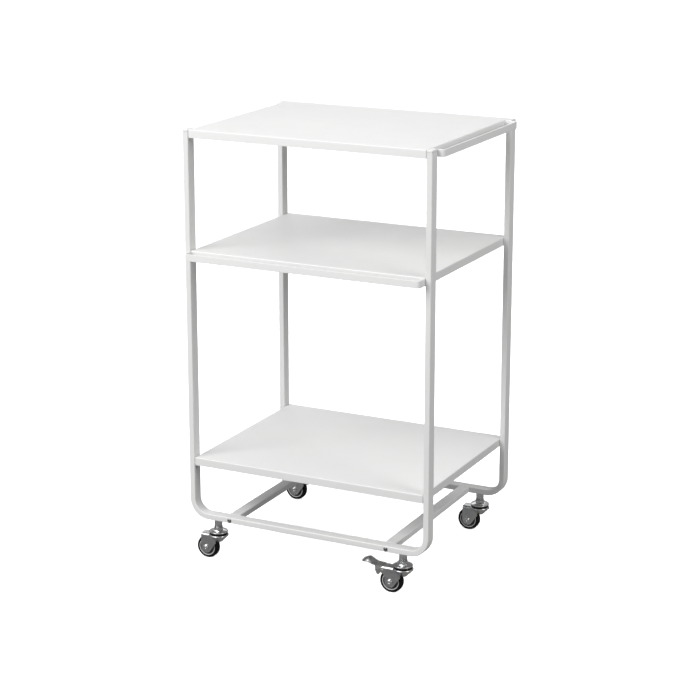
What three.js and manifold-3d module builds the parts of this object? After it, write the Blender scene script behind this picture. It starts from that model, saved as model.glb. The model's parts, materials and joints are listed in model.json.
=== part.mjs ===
// Rolling salon trolley: two bent tube frames, three folded shelves, two
// handle rails, two crossbars and four swivel stem casters, two with brakes.
// Millimetres, +Z up. The origin is on the floor, below the middle of the
// finished trolley's bounding box, and the front of the trolley faces -Y. Each
// piece is drawn about the midpoint of the four swivel axes and moved at the end.
import * as THREE from 'three';
import Module from 'manifold-3d';
import { mergeVertices } from 'three/addons/utils/BufferGeometryUtils.js';

const wasm = await Module();
wasm.setup();

// ---------------------------------------------------------------- dimensions
const FRAME = { width: 450, depth: 345, top: 744, railBottom: 72, bendRadius: 29 };
const TUBE = { thin: 10, wide: 20, corner: 1.5, wall: 1.2 };
const GAP = 0.3;
const SHELF = { depth: 344, flange: 14, sheet: 1.2, corner: 1.5 };
const SHELF_TOPS = { top_shelf: 748, middle_shelf: 544, bottom_shelf: 181 };
const RAIL = { reach: 22, height: 12, thick: 3, bend: 6, drop: 1 };
const CAP = { height: 4, bevel: 1, plug: 14, clear: 0.6 };
const CROSSBAR_X = 148;
const BOLT = { shank: 2.5, head: 3.8, headHeight: 1.6, hole: 2.8, length: 32 };
const BLOCK_LENGTH = 18;
const SCREW = { hole: 2.2, inset: 10 };
const SPARE_HOLE = { r: 2, y: 165.2, z: 160.7 };
const CASTER = { x: 175.5, trail: 20 };
const WHEEL = { r: 20, width: 13, rim: 14.8, bore: 3.05, axle: 3 };
const FORK = {
  half: 10, sheet: 1.8, top: 46, ceiling: 44, disc: 17.3, skirt: 39.5, foot: 9.5, legBack: -29.5, legFront: -1.5,
  chamferZ: 29.5,
};
const STEM = { r: 4.9, hole: 5.2, head: 7, headBottom: 41.6, headTop: 43.7, top: 79.5 };
const RACE = { r: 16.5, bottom: 49.5, lip: 51.5, crown: 53.6, crownR: 9.5, ball: 1.5, ballCircle: 11.5, balls: 6 };
const NUT = { flats: 15, bottom: 53.8, top: 58.3 };
const WASHER = { r: 7.2, bottom: 58.6, groove: 6.3, top: 61.2 };
const BOSS = { r: 6.75, bottom: 61.5 };
const PEDAL = { back: -34.3, pivotX: -33.5, pivotZ: 38, half: 9.5, cheekIn: 6.8, cheekOut: 7.9, pin: 1.5 };
const EAR = { back: -37, top: 43.5, bottom: 35 };

const legX = FRAME.width / 2 - TUBE.thin / 2;
const frameY = FRAME.depth / 2 - TUBE.wide / 2;
const railZ = FRAME.railBottom + TUBE.thin / 2;
const shelfHalf = FRAME.width / 2 - TUBE.thin - GAP;

// ----------------------------------------------------------------- materials
const finish = (color, roughness, metalness) => new THREE.MeshStandardMaterial({ color, roughness, metalness });
const whitePaint = () => finish(0xf1f1ef, 0.45, 0.0);
const whitePlastic = () => finish(0xf4f4f2, 0.5, 0.0);
const zinc = () => finish(0xb4b6b8, 0.3, 0.9);
const chrome = () => finish(0xd4d6d8, 0.12, 1.0);
const darkSteel = () => finish(0x3a3b3d, 0.4, 0.8);
const rubber = () => finish(0x141414, 0.7, 0.0);
const nylon = () => finish(0x9a9c9e, 0.5, 0.0);

// ------------------------------------------------------------------- helpers
function positionsOnly(geometry) {
  const bare = geometry.clone();
  bare.deleteAttribute('normal');
  bare.deleteAttribute('uv');
  return mergeVertices(bare, 1e-4);
}

function solid(geometry) {
  const bare = positionsOnly(geometry);
  const mesh = new wasm.Mesh({
    numProp: 3,
    vertProperties: new Float32Array(bare.attributes.position.array),
    triVerts: new Uint32Array(bare.index.array),
  });
  mesh.merge();
  return new wasm.Manifold(mesh);
}

function geometryOf(body) {
  const mesh = body.getMesh();
  const geometry = new THREE.BufferGeometry();
  geometry.setAttribute('position', new THREE.BufferAttribute(new Float32Array(mesh.vertProperties), 3));
  geometry.setIndex(new THREE.BufferAttribute(new Uint32Array(mesh.triVerts), 1));
  return geometry;
}

function box(x0, x1, y0, y1, z0, z1) {
  const geometry = new THREE.BoxGeometry(x1 - x0, y1 - y0, z1 - z0);
  return geometry.translate((x0 + x1) / 2, (y0 + y1) / 2, (z0 + z1) / 2);
}

// A round bar between two stations on an axis through the given point.
function bar(axis, radius, from, to, a, b, segments = 16) {
  const geometry = new THREE.CylinderGeometry(radius, radius, to - from, segments);
  geometry.translate(0, (from + to) / 2, 0);
  if (axis === 'x') return geometry.rotateZ(-Math.PI / 2).translate(0, a, b);
  if (axis === 'y') return geometry.translate(a, 0, b);
  return geometry.rotateX(Math.PI / 2).translate(a, b, 0);
}

// A profile of [radius, height] pairs turned about the vertical axis.
function turned(profile, segments) {
  const points = profile.map(([r, z]) => new THREE.Vector2(r, z));
  return new THREE.LatheGeometry(points, segments).rotateX(Math.PI / 2);
}

// A closed ring profile turned about the wheel's axle, which lies along Y.
function wheelRing(profile, segments) {
  const points = profile.map(([r, y]) => new THREE.Vector2(r, y));
  points.push(points[0].clone());
  return new THREE.LatheGeometry(points, segments);
}

function ringProfile(inner, outer, z0, z1) {
  return [[inner, z0], [outer, z0], [outer, z1], [inner, z1], [inner, z0]];
}

function roundedRect(width, height, radius) {
  const x = width / 2;
  const y = height / 2;
  const shape = new THREE.Shape();
  shape.absarc(x - radius, -y + radius, radius, -Math.PI / 2, 0, false);
  shape.absarc(x - radius, y - radius, radius, 0, Math.PI / 2, false);
  shape.absarc(-x + radius, y - radius, radius, Math.PI / 2, Math.PI, false);
  shape.absarc(-x + radius, -y + radius, radius, Math.PI, 1.5 * Math.PI, false);
  return shape;
}

// An outline drawn in X and Z, extruded across Y.
function acrossY(shape, y0, y1, curveSegments = 4) {
  const geometry = new THREE.ExtrudeGeometry(shape, { depth: y1 - y0, bevelEnabled: false, curveSegments });
  return geometry.rotateX(Math.PI / 2).translate(0, y1, 0);
}

function hexBar(flats, z0, z1) {
  const geometry = new THREE.CylinderGeometry(flats / Math.sqrt(3), flats / Math.sqrt(3), z1 - z0, 6);
  return geometry.rotateX(Math.PI / 2).translate(0, 0, (z0 + z1) / 2);
}

const trolley = new THREE.Group();

function addNode(name, geometry, material, parent = trolley) {
  const mesh = new THREE.Mesh(geometry, material);
  mesh.name = name;
  parent.add(mesh);
  return mesh;
}

const CORNERS = [
  { name: 'front_left', sideX: -1, sideY: -1, braked: false },
  { name: 'front_right', sideX: 1, sideY: -1, braked: true },
  { name: 'back_left', sideX: -1, sideY: 1, braked: true },
  { name: 'back_right', sideX: 1, sideY: 1, braked: false },
];

// ---------------------------------------------------------------- tube frame
// The centre line of a U frame. Its stations are spaced for the shape: one
// step along each straight and several round each bend.
class UFramePath extends THREE.Curve {
  constructor(overshoot) {
    super();
    const bendSteps = 5;
    const { bendRadius } = FRAME;
    const top = FRAME.top + overshoot;
    const bendZ = railZ + bendRadius;
    const bendX = legX - bendRadius;
    this.stations = [[new THREE.Vector3(-legX, 0, top), new THREE.Vector3(0, 0, -1)]];
    for (const side of [-1, 1]) {
      for (let i = 0; i <= bendSteps; i += 1) {
        const turn = (Math.PI / 2) * (i / bendSteps) + (side > 0 ? Math.PI / 2 : 0);
        const point = new THREE.Vector3(side * bendX - bendRadius * Math.cos(turn), 0,
          bendZ - bendRadius * Math.sin(turn));
        this.stations.push([point, new THREE.Vector3(Math.sin(turn), 0, -Math.cos(turn))]);
      }
    }
    this.stations.push([new THREE.Vector3(legX, 0, top), new THREE.Vector3(0, 0, 1)]);
    this.steps = this.stations.length - 1;
  }

  getPoint(t) { return this.stations[Math.round(t * this.steps)][0].clone(); }

  getPointAt(u) { return this.getPoint(u); }

  getTangentAt(u) { return this.stations[Math.round(u * this.steps)][1].clone(); }
}

function sweptTube(wide, thin, corner, overshoot) {
  const path = new UFramePath(overshoot);
  const section = roundedRect(wide, thin, corner);
  return solid(new THREE.ExtrudeGeometry(section, {
    steps: path.steps, extrudePath: path, bevelEnabled: false, curveSegments: 1,
  }));
}

function shelfScrewPlaces() {
  const places = [];
  for (const top of Object.values(SHELF_TOPS)) {
    for (const sideX of [-1, 1]) {
      for (const sideY of [-1, 1]) {
        places.push({ sideX, y: sideY * (FRAME.depth / 2 - SCREW.inset), z: top - SHELF.flange / 2 });
      }
    }
  }
  return places;
}

function uFrame(sideY) {
  const { wide, thin, corner, wall } = TUBE;
  let body = sweptTube(wide, thin, corner, 0);
  body = body.subtract(sweptTube(wide - 2 * wall, thin - 2 * wall, corner - wall / 2, 4));
  const inner = FRAME.width / 2 - thin;
  for (const sideX of [-1, 1]) {
    const from = sideX > 0 ? inner - 2 : -inner - wall - 1;
    const to = sideX > 0 ? inner + wall + 1 : -inner + 2;
    for (const { y, z, sideX: screwSide } of shelfScrewPlaces()) {
      if (screwSide === sideX && Math.sign(y) === sideY) {
        body = body.subtract(solid(bar('x', SCREW.hole, from, to, y - sideY * frameY, z, 10)));
      }
    }
    const spareY = sideY * (SPARE_HOLE.y - frameY);
    body = body.subtract(solid(bar('x', SPARE_HOLE.r, from, to, spareY, SPARE_HOLE.z, 10)));
    body = body.subtract(solid(bar('y', BOLT.hole, -wide, wide, sideX * CROSSBAR_X, railZ, 12)));
    const stemX = sideX * CASTER.x;
    body = body.add(solid(bar('z', BOSS.r, BOSS.bottom, FRAME.railBottom + TUBE.wall / 2, stemX, 0, 16)));
    const stemHole = bar('z', STEM.hole, BOSS.bottom - 2, FRAME.railBottom + 4, stemX, 0, 14);
    body = body.subtract(solid(stemHole));
  }
  return geometryOf(body);
}

addNode('front_frame', uFrame(-1), whitePaint()).position.y = -frameY;
addNode('back_frame', uFrame(1), whitePaint()).position.y = frameY;

// Plastic caps close the open tops of the tubes: a rounded flange and a plug.
function legCap(x, y) {
  const { height, bevel, plug, clear } = CAP;
  const flange = new THREE.ExtrudeGeometry(roundedRect(TUBE.thin - 2 * bevel, TUBE.wide - 2 * bevel, 1), {
    depth: height - 2 * bevel, bevelThickness: bevel, bevelSize: bevel, bevelSegments: 1, curveSegments: 1,
  });
  const head = solid(flange.translate(0, 0, bevel)).subtract(solid(box(-9, 9, -19, 19, -5, GAP)));
  const halfX = TUBE.thin / 2 - TUBE.wall - clear;
  const halfY = TUBE.wide / 2 - TUBE.wall - clear;
  const stopper = solid(box(-halfX, halfX, -halfY, halfY, -plug, bevel));
  return geometryOf(head.add(stopper)).translate(x, y, FRAME.top);
}

for (const { name, sideX, sideY } of CORNERS) {
  addNode(`${name}_leg_cap`, legCap(sideX * legX, sideY * frameY), whitePlastic());
}

// ----------------------------------------------------------------- crossbars
// Each crossbar is a tube with a threaded block welded into either end.
const crossbarEnd = frameY - TUBE.wide / 2 - GAP;

function crossbar(x) {
  const { wide, thin, corner, wall } = TUBE;
  const tube = (w, h, r, length) => solid(new THREE.ExtrudeGeometry(roundedRect(w, h, r), {
    depth: 2 * length, bevelEnabled: false, curveSegments: 1,
  }).rotateX(Math.PI / 2).translate(0, length, 0));
  const hollow = tube(wide - 2 * wall, thin - 2 * wall, corner - wall / 2, crossbarEnd - BLOCK_LENGTH);
  let body = tube(wide, thin, corner, crossbarEnd).subtract(hollow);
  body = body.subtract(solid(bar('y', BOLT.hole, -2 * crossbarEnd, 2 * crossbarEnd, 0, 0, 12)));
  return geometryOf(body).translate(x, 0, railZ);
}

addNode('left_crossbar', crossbar(-CROSSBAR_X), whitePaint());
addNode('right_crossbar', crossbar(CROSSBAR_X), whitePaint());

function crossbarBolt({ sideX, sideY }) {
  const face = FRAME.depth / 2;
  const shank = bar('y', BOLT.shank, face - BOLT.length, face + 0.5, 0, 0, 12);
  const head = new THREE.CylinderGeometry(BOLT.head * 0.7, BOLT.head, BOLT.headHeight, 16);
  head.translate(0, face + GAP / 2 + BOLT.headHeight / 2, 0);
  const socket = new THREE.CylinderGeometry(1.6, 1.6, 2, 6).translate(0, face + BOLT.headHeight + 0.7, 0);
  const bolt = geometryOf(solid(shank).add(solid(head)).subtract(solid(socket)));
  if (sideY < 0) bolt.rotateZ(Math.PI);
  return bolt.translate(sideX * CROSSBAR_X, 0, railZ);
}

for (const corner of CORNERS) {
  addNode(`${corner.name}_crossbar_bolt`, crossbarBolt(corner), darkSteel());
}

// ------------------------------------------------------------------- shelves
function shelf(top) {
  const halfDepth = SHELF.depth / 2;
  const { sheet, flange, corner } = SHELF;
  const pan = (halfX, halfY, z0, z1, edge) => {
    const shape = roundedRect(2 * (halfX - edge), 2 * (halfY - edge), 0.8);
    const geometry = new THREE.ExtrudeGeometry(shape, {
      depth: z1 - z0 - edge, bevelThickness: edge, bevelSize: edge, bevelSegments: 2, curveSegments: 1,
    });
    return solid(geometry.translate(0, 0, z0));
  };
  let body = pan(shelfHalf, halfDepth, top - flange, top, corner);
  body = body.subtract(solid(box(-400, 400, -400, 400, top - flange - 10, top - flange)));
  body = body.subtract(pan(shelfHalf - sheet, halfDepth - sheet, top - flange - 8, top - sheet, 0.5));
  for (const { sideX, y, z } of shelfScrewPlaces()) {
    if (Math.abs(z - (top - flange / 2)) < 1) {
      const at = sideX * shelfHalf;
      body = body.subtract(solid(bar('x', SCREW.hole, at - 3, at + 3, y, z, 10)));
    }
  }
  return geometryOf(body);
}

for (const [name, top] of Object.entries(SHELF_TOPS)) addNode(name, shelf(top), whitePaint());

// --------------------------------------------------------------------- rails
// A flat strip bent into a shallow U, whose ends meet a shelf's flange. It is
// drawn in plan, with the flange on the line y = 0 and the strip at -reach.
function handleRail(halfLength, shelfTop) {
  const { reach, thick, bend, height, drop } = RAIL;
  const outer = new THREE.Shape();
  outer.moveTo(-halfLength, -GAP);
  outer.lineTo(-halfLength, -reach + bend);
  outer.absarc(-halfLength + bend, -reach + bend, bend, Math.PI, 1.5 * Math.PI, false);
  outer.absarc(halfLength - bend, -reach + bend, bend, 1.5 * Math.PI, 2 * Math.PI, false);
  outer.lineTo(halfLength, -GAP);
  outer.lineTo(halfLength - thick, -GAP);
  outer.absarc(halfLength - bend, -reach + bend, bend - thick, 2 * Math.PI, 1.5 * Math.PI, true);
  outer.absarc(-halfLength + bend, -reach + bend, bend - thick, 1.5 * Math.PI, Math.PI, true);
  outer.lineTo(-halfLength + thick, -GAP);
  const geometry = new THREE.ExtrudeGeometry(outer, { depth: height, bevelEnabled: false, curveSegments: 3 });
  return geometry.translate(0, 0, shelfTop - drop - height);
}

const sideRailHalf = FRAME.depth / 2 - TUBE.wide - GAP;
const sideRail = handleRail(sideRailHalf, SHELF_TOPS.top_shelf).rotateZ(Math.PI / 2).translate(shelfHalf, 0, 0);
addNode('top_side_rail', sideRail, whitePaint());
const frontRail = handleRail(shelfHalf, SHELF_TOPS.middle_shelf).translate(0, -SHELF.depth / 2, 0);
addNode('middle_front_rail', frontRail, whitePaint());

// ------------------------------------------------------------------- casters
// Each caster is drawn about its own swivel axis, trailing towards -X.
function forkGeometry(braked) {
  const { half, sheet, top, ceiling, disc, skirt, foot, legBack, legFront, chamferZ } = FORK;
  const plateBack = braked ? PEDAL.back + 0.5 : legBack;
  const earBack = braked ? EAR.back : legBack;
  const disk = new THREE.CylinderGeometry(disc - 1.5, disc, 1.5, 20).rotateX(Math.PI / 2);
  let body = solid(disk.translate(0, 0, top - 0.75));
  body = body.add(solid(bar('z', disc, skirt, top - 1.5, 0, 0, 20)));
  const fold = 3;
  const channel = new THREE.Shape();
  channel.moveTo(-half, 0);
  channel.lineTo(-half, top - fold);
  channel.absarc(-half + fold, top - fold, fold, Math.PI, Math.PI / 2, true);
  channel.absarc(half - fold, top - fold, fold, Math.PI / 2, 0, true);
  channel.lineTo(half, 0);
  const channelBody = new THREE.ExtrudeGeometry(channel, {
    depth: legFront - earBack, bevelEnabled: false, curveSegments: 2,
  });
  channelBody.rotateX(Math.PI / 2).rotateZ(Math.PI / 2).translate(earBack, 0, 0);
  let legs = solid(channelBody);
  const axleX = -CASTER.trail;
  const diagonal = Math.PI / 4;
  const side = new THREE.Shape();
  side.moveTo(plateBack, top + 2);
  if (braked) {
    side.lineTo(plateBack, EAR.top);
    side.lineTo(earBack, EAR.top);
    side.lineTo(earBack, EAR.bottom);
    side.lineTo(legBack, EAR.bottom - 4);
  }
  side.absarc(axleX, WHEEL.r, foot, Math.PI, 2 * Math.PI - diagonal, false);
  side.lineTo(legFront, chamferZ);
  side.lineTo(legFront, top + 2);
  legs = legs.intersect(solid(acrossY(side, -30, 30)));
  body = body.add(legs);
  const hollowR = disc - sheet;
  body = body.subtract(solid(bar('z', hollowR, skirt - 2, ceiling, 0, 0, 20))
    .subtract(solid(box(-60, legFront + 0.1, half - sheet, 30, 0, ceiling)))
    .subtract(solid(box(-60, legFront + 0.1, -30, sheet - half, 0, ceiling))));
  body = body.subtract(solid(box(-60, legFront + 1, sheet - half, half - sheet, 0, ceiling)));
  body = body.subtract(solid(bar('z', STEM.hole, ceiling - 2, top + 2, 0, 0, 14)));
  body = body.subtract(solid(bar('y', WHEEL.axle + 0.15, -30, 30, axleX, WHEEL.r, 12)));
  if (braked) {
    body = body.subtract(solid(bar('y', PEDAL.pin + 0.15, -30, 30, PEDAL.pivotX, PEDAL.pivotZ, 10)));
  }
  return geometryOf(body);
}

// The threaded stem: a riveted head under the fork, the shank through the race
// and the nut, and the two washers that bear on the frame's boss.
function stemGeometry() {
  const { r, head, headBottom, headTop, top } = STEM;
  const middle = (WASHER.bottom + WASHER.top) / 2;
  return turned([[0, headBottom], [head - 1, headBottom], [head, headBottom + 1], [head, headTop],
    [r, headTop], [r, WASHER.bottom], [WASHER.r, WASHER.bottom], [WASHER.r, middle - 0.3],
    [WASHER.groove, middle], [WASHER.r, middle + 0.3], [WASHER.r, WASHER.top], [r, WASHER.top],
    [r, top - 1], [r - 1, top], [0, top]], 12);
}

function raceCapGeometry() {
  const { r, bottom, lip, crown, crownR } = RACE;
  return turned([[STEM.hole, bottom], [r - 0.5, bottom], [r, bottom + 0.5], [r, lip], [r - 0.8, lip + 0.4],
    [crownR, crown], [STEM.hole, crown], [STEM.hole, bottom]], 20);
}

// The swivel's balls, held at their pitch by a thin flat cage.
function ballRing() {
  const { ball, ballCircle } = RACE;
  const middle = (FORK.top + RACE.bottom) / 2;
  const cage = ringProfile(ballCircle - 1, ballCircle + 1, middle - 0.3, middle + 0.3);
  let body = solid(turned(cage, 18));
  for (let i = 0; i < RACE.balls; i += 1) {
    const angle = (2 * Math.PI * i) / RACE.balls;
    const sphere = new THREE.SphereGeometry(ball, 6, 4).rotateX(Math.PI / 2);
    sphere.translate(ballCircle * Math.cos(angle), ballCircle * Math.sin(angle), middle);
    body = body.add(solid(sphere));
  }
  return geometryOf(body);
}

function tyreGeometry() {
  const half = WHEEL.width / 2;
  const { r, rim } = WHEEL;
  return wheelRing([[rim, -half + 0.4], [r - 2.2, -half], [r - 0.8, -half + 0.9], [r, -half + 2.6],
    [r, half - 2.6], [r - 0.8, half - 0.9], [r - 2.2, half], [rim, half - 0.4]], 24).translate(-CASTER.trail, 0, r);
}

function hubGeometry() {
  const half = WHEEL.width / 2;
  const outer = WHEEL.rim - 0.05;
  const lip = outer - 1.4;
  const boss = 7.4;
  return wheelRing([[WHEEL.bore, -half - 0.6], [boss, -half - 0.6], [boss + 0.6, -1.6], [lip - 1, -1.6],
    [lip, -half], [outer, -half], [outer, half], [lip, half], [lip - 1, 1.6], [boss + 0.6, 1.6],
    [boss, half + 0.6], [WHEEL.bore, half + 0.6]], 24).translate(-CASTER.trail, 0, WHEEL.r);
}

function axleGeometry() {
  const { half } = FORK;
  const r = WHEEL.axle;
  const points = [[0, -half - 3.4], [3, -half - 3.1], [4.9, -half - 1.9], [5.3, -half - 0.2], [r, -half - 0.2],
    [r, half + 3.6], [r - 0.5, half + 4], [0, half + 4]].map(([x, y]) => new THREE.Vector2(x, y));
  return new THREE.LatheGeometry(points, 12).translate(-CASTER.trail, 0, WHEEL.r);
}

function axleNutGeometry() {
  const { half } = FORK;
  const nut = new THREE.CylinderGeometry(10 / Math.sqrt(3), 10 / Math.sqrt(3), 3, 6).translate(0, half + 1.8, 0);
  const hole = new THREE.CylinderGeometry(WHEEL.axle + 0.15, WHEEL.axle + 0.15, 6, 12).translate(0, half + 1.8, 0);
  return geometryOf(solid(nut).subtract(solid(hole))).translate(-CASTER.trail, 0, WHEEL.r);
}

// The brake lever: a humped foot leaf, two cheeks on the pivot pin and a shoe
// that swings against the tread when the leaf is pressed down.
function pedalGeometry() {
  const { back, pivotX, pivotZ, half, cheekIn, cheekOut, pin } = PEDAL;
  const sheet = 1.4;
  const leaf = new THREE.Shape();
  leaf.moveTo(back, 46);
  leaf.lineTo(back, 46 + sheet);
  leaf.lineTo(-47, 46 + sheet);
  leaf.bezierCurveTo(-53, 48, -55, 55.5, -61.5, 55.7);
  leaf.bezierCurveTo(-67, 55.9, -71, 52.5, -74.2, 48.6);
  leaf.lineTo(-73.4, 47.4);
  leaf.bezierCurveTo(-70.5, 51.2, -66.5, 54.3, -61.5, 54.2);
  leaf.bezierCurveTo(-56.5, 54, -54, 46.8, -47, 46);
  const plan = new THREE.Shape();
  plan.moveTo(back + 1, -half + 1.5);
  plan.lineTo(back + 1, half - 1.5);
  plan.lineTo(-46, half - 0.5);
  plan.bezierCurveTo(-54, half + 1.5, -70, half, -74.5, 2);
  plan.bezierCurveTo(-75.2, 0.8, -75.2, -0.8, -74.5, -2);
  plan.bezierCurveTo(-70, -half, -54, -half - 1.5, -46, -half + 0.5);
  const planBody = new THREE.ExtrudeGeometry(plan, { depth: 30, bevelEnabled: false, curveSegments: 4 });
  let body = solid(acrossY(leaf, -15, 15, 4)).intersect(solid(planBody.translate(0, 0, 35)));
  const cheek = new THREE.Shape();
  cheek.moveTo(-48, 46.6);
  cheek.lineTo(-48, 36.5);
  cheek.lineTo(-44.5, 29.4);
  cheek.lineTo(-41, 29.4);
  cheek.absarc(pivotX, pivotZ, 3.6, -Math.PI / 2 - 0.9, Math.PI / 3, false);
  cheek.lineTo(back - 1.5, 46.6);
  for (const side of [-1, 1]) {
    const faces = [side * cheekIn, side * cheekOut].sort((a, b) => a - b);
    body = body.add(solid(acrossY(cheek, faces[0], faces[1])));
  }
  const shoe = new THREE.Shape();
  shoe.moveTo(-44.5, 29.4);
  shoe.lineTo(-41.6, 29.4);
  shoe.lineTo(-41.6, 33.4);
  shoe.lineTo(-44.5, 33.4);
  body = body.add(solid(acrossY(shoe, -cheekIn - 0.2, cheekIn + 0.2)));
  body = body.subtract(solid(bar('y', pin + 0.1, -30, 30, pivotX, pivotZ, 10)));
  return geometryOf(body);
}

function pedalPinGeometry() {
  const { pivotX, pivotZ, pin } = PEDAL;
  const end = FORK.half + 0.9;
  const points = [[0, -end], [pin + 0.6, -end], [pin + 0.9, -end + 0.7], [pin, -end + 0.7], [pin, end - 0.7],
    [pin + 0.9, end - 0.7], [pin + 0.6, end], [0, end]].map(([x, y]) => new THREE.Vector2(x, y));
  return new THREE.LatheGeometry(points, 10).translate(pivotX, 0, pivotZ);
}

function hexNutGeometry() {
  const hole = bar('z', STEM.hole, NUT.bottom - 2, NUT.top + 2, 0, 0, 12);
  return geometryOf(solid(hexBar(NUT.flats, NUT.bottom, NUT.top)).subtract(solid(hole)));
}

function addCaster({ name, sideX, sideY, braked }) {
  const place = new THREE.Group();
  place.position.set(sideX * CASTER.x, sideY * frameY, 0);
  trolley.add(place);
  const node = (part, geometry, material) => addNode(`${name}_${part}`, geometry, material, place);
  node('stem', stemGeometry(), zinc());
  node('stem_nut', hexNutGeometry(), chrome());
  node('race_cap', raceCapGeometry(), chrome());
  node('race_balls', ballRing(), chrome());
  node('fork', forkGeometry(braked), zinc());
  node('axle_bolt', axleGeometry(), chrome());
  node('axle_nut', axleNutGeometry(), zinc());
  node('wheel_hub', hubGeometry(), nylon());
  node('tyre', tyreGeometry(), rubber());
  if (braked) {
    node('brake_pedal', pedalGeometry(), zinc());
    node('brake_pin', pedalPinGeometry(), zinc());
  }
}

for (const corner of CORNERS) addCaster(corner);

const extent = new THREE.Box3().setFromObject(trolley, true);
const middle = extent.getCenter(new THREE.Vector3());
trolley.position.set(-middle.x, -middle.y, -extent.min.z);

export default trolley;
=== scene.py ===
# Rolling salon trolley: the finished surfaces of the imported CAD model.
# Shapes are drawn in millimetres about their own middle, and each is put in its
# place in metres from the CAD nodes' boxes. A caster is drawn about its swivel
# axis, on the floor, trailing towards -X.
import json
import math

import bmesh
import bpy
from mathutils import Matrix, Vector


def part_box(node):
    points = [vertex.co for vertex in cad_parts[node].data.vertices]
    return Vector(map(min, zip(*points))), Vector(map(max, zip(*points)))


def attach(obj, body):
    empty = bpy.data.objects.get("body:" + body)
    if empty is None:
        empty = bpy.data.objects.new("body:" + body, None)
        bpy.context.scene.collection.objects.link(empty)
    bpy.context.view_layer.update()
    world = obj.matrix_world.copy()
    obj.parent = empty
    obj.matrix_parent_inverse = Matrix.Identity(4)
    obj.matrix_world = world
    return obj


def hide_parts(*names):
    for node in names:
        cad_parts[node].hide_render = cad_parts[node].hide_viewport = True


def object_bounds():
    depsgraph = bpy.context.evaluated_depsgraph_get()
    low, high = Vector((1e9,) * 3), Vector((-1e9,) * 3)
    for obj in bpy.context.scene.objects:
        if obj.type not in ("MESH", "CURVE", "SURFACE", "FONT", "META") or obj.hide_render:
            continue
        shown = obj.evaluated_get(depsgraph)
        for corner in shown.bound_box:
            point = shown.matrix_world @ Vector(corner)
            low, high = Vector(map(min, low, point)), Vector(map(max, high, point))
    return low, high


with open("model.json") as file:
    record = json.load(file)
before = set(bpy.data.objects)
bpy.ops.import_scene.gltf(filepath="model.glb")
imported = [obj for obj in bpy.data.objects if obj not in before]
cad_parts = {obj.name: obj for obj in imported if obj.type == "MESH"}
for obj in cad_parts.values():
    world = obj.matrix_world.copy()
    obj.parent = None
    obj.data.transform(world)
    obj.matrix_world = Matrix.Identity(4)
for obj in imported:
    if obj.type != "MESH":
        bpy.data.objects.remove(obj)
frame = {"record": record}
cad_low, cad_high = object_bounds()

MM = 0.001

# ---------------- dimensions
TUBE = {"wide": 20.0, "thin": 10.0, "corner": 1.5, "wall": 1.2}
BEND = 29.0
SHEET = {"thick": 1.2, "edge": 1.6, "flange": 14.0, "corner": 1.8, "least": 0.5, "rim": 0.3}
STRIP = {"thick": 3.0, "height": 12.0, "bend": 6.0, "edge": 0.7}
SCREW = {"hole": 2.2, "slack": 0.3, "head": 3.9, "rise": 2.3, "length": 7.0, "slot": 3.8, "slot_wide": 0.7,
         "slot_deep": 0.9, "turn": 0.3}
SPARE_HOLE = {"r": 2.0, "in": 2.7, "z": 160.7}
BOLT = {"shank": 2.5, "head": 3.8, "rise": 1.6, "hole": 2.8, "length": 31.5, "socket": 1.55, "deep": 1.1,
        "gap": 0.15, "thread": 12.0}
CAP = {"height": 4.0, "plug": 14.0, "clear": 0.6, "plug_corner": 0.8, "plug_top": 1.0, "chamfer": 0.3}
BEAD = {"r": 0.7, "short": 0.8, "in": 0.45}
BOSS = {"r": 6.75, "bore": 5.2, "length": 10.5, "clear": 0.1}
WELD = {"size": 1.0, "ripples": 22, "ripple": 0.14, "wander": 0.08}
WHEEL = {"r": 20.0, "width": 13.0, "rim": 14.8, "bore": 3.05, "trail": 20.0}
HUB = {"slack": 0.05, "lip": 1.4, "lip_in": 0.8, "boss": 7.2, "boss_out": 0.35, "web": 1.6, "collar": 0.6}
RIB = {"in": 1.2, "out": 3.4, "thick": 1.2, "count": 6, "bite": 0.6}
AXLE = {"r": 3.0, "head": 5.2, "crown": 3.6, "rise": 3.2, "gap": 0.2, "threads": 7, "pitch": 0.5,
        "groove": 0.3, "past": 4.0, "socket_floor": 1.8}
AXLE_NUT = {"flats": 10.0, "gap": 0.3, "thick": 3.0, "chamfer": 0.6}
SLIP = 0.15
FORK = {"half": 10.0, "sheet": 1.8, "top": 46.0, "disc": 17.3, "fold": 4.4, "foot": 9.5, "back": -29.5,
        "front": -1.5, "chamfer": 29.5}
BOWL = {"rim": 42.0, "low": 31.5, "r": 6.0, "wheel_room": 21.2}
EAR = {"plate": -33.8, "back": -37.0, "top": 43.5, "bottom": 35.0}
STEM = {"r": 4.9, "bore": 5.2, "head": 7.0, "low": 41.6, "rivet": 43.7, "top": 79.5}
RACE = {"r": 16.5, "low": 49.5, "lip": 51.5, "crown": 53.6, "crown_r": 9.5, "ball": 1.5, "circle": 13.2,
        "balls": 20}
CAGE = {"half": 1.0, "rise": 0.3}
# the black ring under each race cap: painted shade in the groove there
SHADE_BAND = {"in": 14.9, "out": 15.6, "lift": 0.25}
# the white beads on each hub's rim: painted highlight
HIGHLIGHT_RING = {"in": 13.5, "out": 15.2, "seat": 4.6, "face": 6.42}
NUT = {"flats": 15.0, "low": 53.8, "high": 58.3, "chamfer": 0.9, "soft": 0.1}
WASHER = {"r": 7.2, "low": 58.6, "split": 59.9, "high": 61.2}
PEDAL = {"back": -34.3, "step": 47.4, "step_end": -47.0, "hump_x": -61.5, "hump": 55.6, "tip_x": -74.2,
         "tip": 48.6, "neck": 8.0, "widest": -57.0, "half": 10.5, "thick": 1.4, "inside": 0.1,
         "pivot_x": -33.5, "pivot_z": 38.0, "cheek_in": 6.8, "cheek_out": 7.9}
DOME = {"flat": 0.35, "steep": 0.65, "across": 0.55, "droop": 1.1, "blunt": 0.03}
STEP_RIBS = {"tip_end": -46.5, "back_end": -35.5, "side": 0.80, "count": 5, "height": 0.45}
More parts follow.
